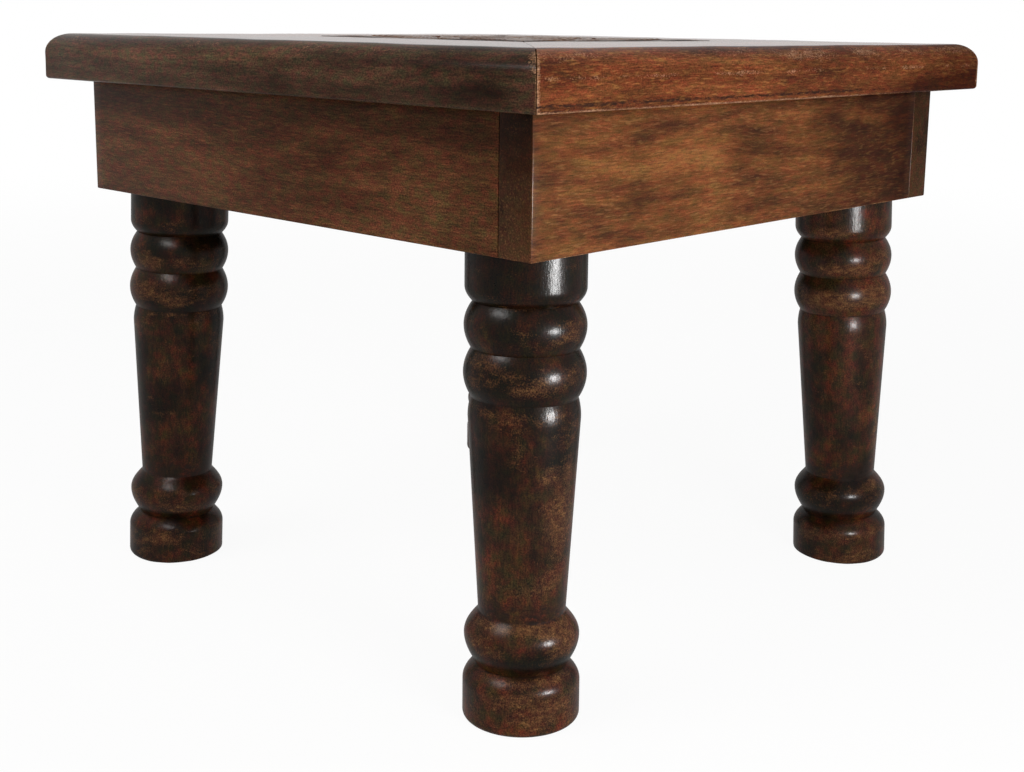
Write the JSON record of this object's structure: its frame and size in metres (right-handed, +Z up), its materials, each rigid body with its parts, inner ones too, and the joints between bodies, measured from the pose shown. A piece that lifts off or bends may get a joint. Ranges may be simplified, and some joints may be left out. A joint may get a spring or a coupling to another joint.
{
  "type": "bajot low table",
  "caption": "Low square wooden table with a mitred round-edged top, a carved centre panel, a lapped board apron and stout turned legs.",
  "frame": {"origin": "on the floor, under the centre of the top", "axes": "+Z up, front towards -Y, +X to the right seen from the front; every side is alike apart from the laps of the apron corners"},
  "size_m": [0.4, 0.4, 0.3248],
  "materials": {
    "top_rail": "dark stained and lacquered, semi-gloss, worn at the edges",
    "carving": "dark stained and lacquered, rubbed on the crests",
    "apron": "stained, satin",
    "turned_leg": "very dark stained and lacquered, glossy, rubbed on the beads",
    "bare_wood": "planed, unfinished",
    "steel": "plain steel"
  },
  "bodies": {
    "root": {"top_rail_front": "top_rail", "top_rail_right": "top_rail", "top_rail_back": "top_rail", "top_rail_left": "top_rail", "carved_panel": "carving", "mitre_spline_front_left": "bare_wood", "mitre_spline_front_right": "bare_wood", "mitre_spline_back_right": "bare_wood", "mitre_spline_back_left": "bare_wood", "apron_front": "apron", "apron_right": "apron", "apron_back": "apron", "apron_left": "apron", "leg_front_left": "turned_leg", "leg_front_right": "turned_leg", "leg_back_right": "turned_leg", "leg_back_left": "turned_leg", "cleat_front": "bare_wood", "cleat_right": "bare_wood", "cleat_back": "bare_wood", "cleat_left": "bare_wood", "cleat_screw_front_1": "steel", "cleat_screw_front_2": "steel", "cleat_screw_right_1": "steel", "cleat_screw_right_2": "steel", "cleat_screw_back_1": "steel", "cleat_screw_back_2": "steel", "cleat_screw_left_1": "steel", "cleat_screw_left_2": "steel", "corner_nail_front_left_1": "steel", "corner_nail_front_left_2": "steel", "corner_nail_front_right_1": "steel", "corner_nail_front_right_2": "steel", "corner_nail_back_right_1": "steel", "corner_nail_back_right_2": "steel", "corner_nail_back_left_1": "steel", "corner_nail_back_left_2": "steel", "leg_nail_front_1": "steel", "leg_nail_front_2": "steel", "leg_nail_right_1": "steel", "leg_nail_right_2": "steel", "leg_nail_back_1": "steel", "leg_nail_back_2": "steel", "leg_nail_left_1": "steel", "leg_nail_left_2": "steel"}
  },
  "joints": []
}
